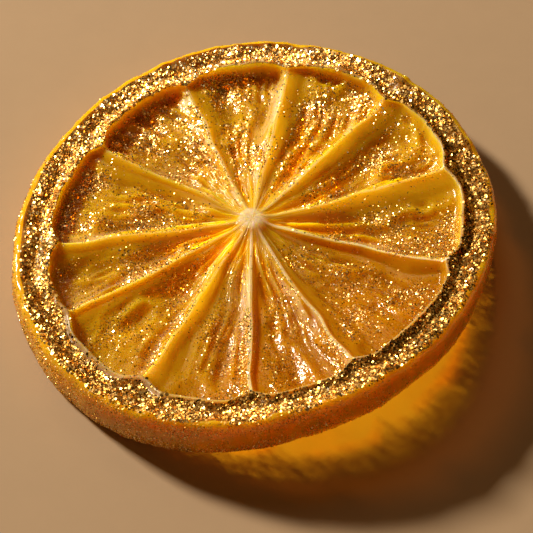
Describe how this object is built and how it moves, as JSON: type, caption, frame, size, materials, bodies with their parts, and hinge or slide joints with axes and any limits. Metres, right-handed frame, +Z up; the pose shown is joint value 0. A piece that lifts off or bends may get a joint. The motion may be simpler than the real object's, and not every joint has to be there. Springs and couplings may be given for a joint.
{
  "type": "dried lemon slice",
  "caption": "Round slice of dried citrus with a thick rind, thin membranes running from a small core, sunken amber pulp and one side curled up.",
  "frame": {"origin": "middle of the slice's box at the flat underside of the rind, on the surface that the slice lies on", "axes": "+Z up through the slice, square to its cut faces; +Y along the slice's slightly longer way, +X across it, with the curled side towards +X and -Y"},
  "size_m": [0.0586, 0.0626, 0.0097],
  "materials": {
    "candied_pulp": "glossy, translucent amber fruit",
    "gold_glitter": "fine bright gold flakes"
  },
  "bodies": {
    "root": {"lemon_slice": "candied_pulp"}
  },
  "joints": []
}
